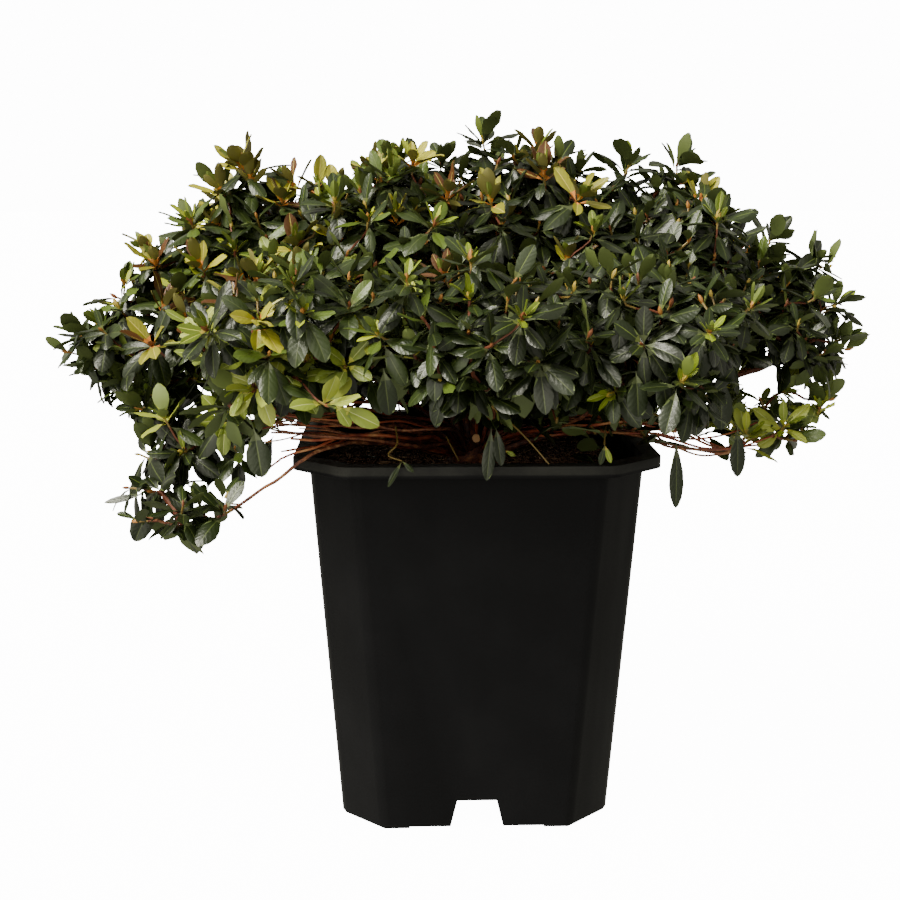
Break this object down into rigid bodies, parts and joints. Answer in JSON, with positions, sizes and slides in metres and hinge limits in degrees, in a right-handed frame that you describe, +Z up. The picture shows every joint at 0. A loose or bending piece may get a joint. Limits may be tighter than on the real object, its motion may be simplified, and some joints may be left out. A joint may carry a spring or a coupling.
{
  "type": "azalea shrub in pot",
  "caption": "Low, wide evergreen azalea out of flower: thin red-brown stems spread from one foot into a dense leafy crown, in a tapered square black nursery pot.",
  "frame": {"origin": "middle of the flat underside of the pot", "axes": "+Z up, -Y towards the front of the plant, +X to the right seen from the front"},
  "size_m": [0.4409, 0.3617, 0.372],
  "materials": {
    "pot_plastic": "satin",
    "compost": "matte",
    "bark": "matte",
    "foliage": "satin"
  },
  "bodies": {
    "root": {"pot": "pot_plastic", "soil": "compost", "stems": "bark", "bough_back": "bark", "bough_back_left": "bark", "bough_back_right": "bark", "bough_droop_left": "bark", "bough_front": "bark", "bough_front_left": "bark", "bough_front_right": "bark", "bough_left": "bark", "bough_low_left": "bark", "bough_low_right": "bark", "bough_over_rim": "bark", "bough_right": "bark", "bough_top_left": "bark", "bough_top_mid_left": "bark", "bough_top_mid_right": "bark", "bough_top_right": "bark", "leaves_back": "foliage", "leaves_back_left": "foliage", "leaves_back_right": "foliage", "leaves_droop_left": "foliage", "leaves_front": "foliage", "leaves_front_left": "foliage", "leaves_front_right": "foliage", "leaves_left": "foliage", "leaves_low_left": "foliage", "leaves_low_right": "foliage", "leaves_right": "foliage", "leaves_top_left": "foliage", "leaves_top_mid_left": "foliage", "leaves_top_mid_right": "foliage", "leaves_top_right": "foliage"}
  },
  "joints": []
}
